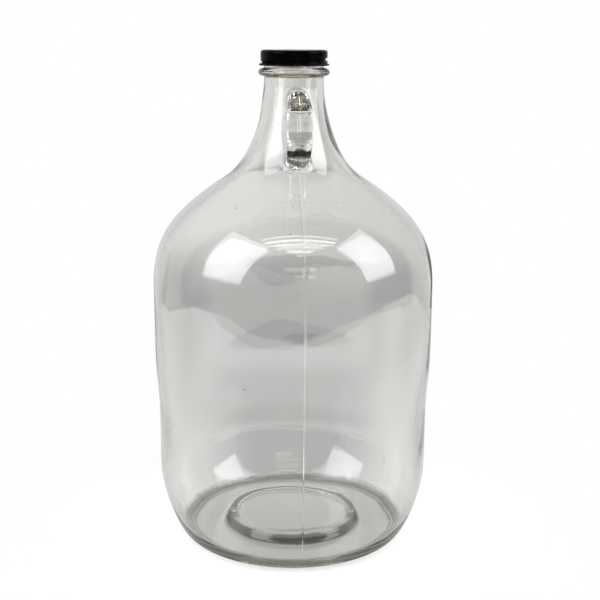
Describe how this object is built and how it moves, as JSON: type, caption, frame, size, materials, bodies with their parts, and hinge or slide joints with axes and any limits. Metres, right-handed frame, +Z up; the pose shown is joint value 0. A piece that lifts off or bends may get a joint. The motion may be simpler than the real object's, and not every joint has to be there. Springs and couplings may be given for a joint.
{
  "type": "glass jug",
  "caption": "Clear glass jug with a narrow neck, a moulded finger ring on the neck and a lined metal screw cap, for storing and pouring liquids.",
  "frame": {"origin": "centre of the ring that the jug stands on, on the resting plane", "axes": "+Z up along the jug's axis, -Y towards the finger ring"},
  "size_m": [0.1678, 0.1678, 0.2934],
  "materials": {
    "flint_glass": "clear, fire-polished",
    "black_enamel": "gloss",
    "pulpboard": "matte pressed pulp",
    "facing_film": "satin coated"
  },
  "bodies": {
    "jug": {"glass_jug": "flint_glass"},
    "liner": {"liner_backing": "pulpboard", "liner_facing": "facing_film"},
    "cap": {"cap_shell": "black_enamel"}
  },
  "joints": [
    {"name": "cap_lift", "type": "slide", "parent": "jug", "child": "liner", "axis": [0, 0, 1], "range_m": [0, 0.0128]},
    {"name": "cap_turn", "type": "hinge", "parent": "liner", "child": "cap", "pos_m": [0, 0, 0.2884], "axis": [0, 0, 1], "range_deg": [0, 1080]}
  ],
  "couplings": [
    {"joint": "cap_lift", "follows": "cap_turn", "m_per_rad": 0.00067376}
  ]
}
